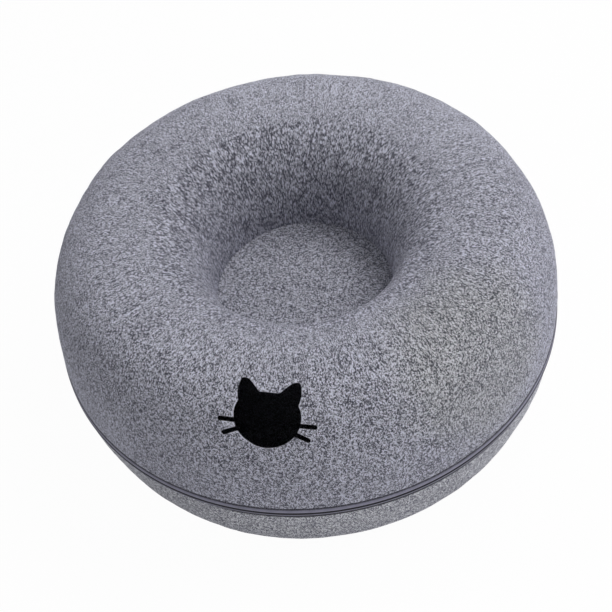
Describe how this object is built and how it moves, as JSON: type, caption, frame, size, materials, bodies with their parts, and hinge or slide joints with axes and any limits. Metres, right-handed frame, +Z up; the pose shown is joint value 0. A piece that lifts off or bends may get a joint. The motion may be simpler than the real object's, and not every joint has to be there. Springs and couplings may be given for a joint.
{
  "type": "donut cat tunnel",
  "caption": "Ring-shaped felt tunnel for a cat, in two moulded halves joined by a zipper round the middle, with a sunken well, a peephole and an entrance.",
  "frame": {"origin": "on the ground, at the centre of the ring", "axes": "+Z up; -Y towards the front, where the peephole is; +X to the right as seen from the front; the entrance and the slider are at +Y"},
  "size_m": [0.6012, 0.6069, 0.25],
  "materials": {
    "felt": "grey heather needle felt, 4 mm, moulded",
    "floor_felt": "grey heather needle felt, 4 mm, flat",
    "zipper_tape": "smooth woven grey tape",
    "zipper_coil": "dark moulded filament",
    "zipper_metal": "satin grey enamel"
  },
  "bodies": {
    "lower_half": {"lower_shell": "felt", "well_floor": "floor_felt", "lower_tape": "zipper_tape", "lower_coil": "zipper_coil", "lower_start_stop": "zipper_metal", "lower_end_stop": "zipper_metal"},
    "upper_half": {"upper_shell": "felt", "upper_tape": "zipper_tape", "upper_coil": "zipper_coil", "upper_start_stop": "zipper_metal", "upper_end_stop": "zipper_metal"},
    "slider": {"slider": "zipper_metal"},
    "pull_tab": {"pull_tab": "zipper_metal"}
  },
  "joints": [
    {"name": "upper_lift", "type": "slide", "parent": "lower_half", "child": "upper_half", "axis": [0, 0, 1], "range_m": [0, 0.25]},
    {"name": "slider_travel", "type": "hinge", "parent": "lower_half", "child": "slider", "pos_m": [0, 0, 0.104], "axis": [0, 0, 1], "range_deg": [0, 352]},
    {"name": "tab_swing", "type": "hinge", "parent": "slider", "child": "pull_tab", "pos_m": [0, 0.3038, 0.104], "axis": [0, 0, 1], "range_deg": [0, 175]}
  ]
}
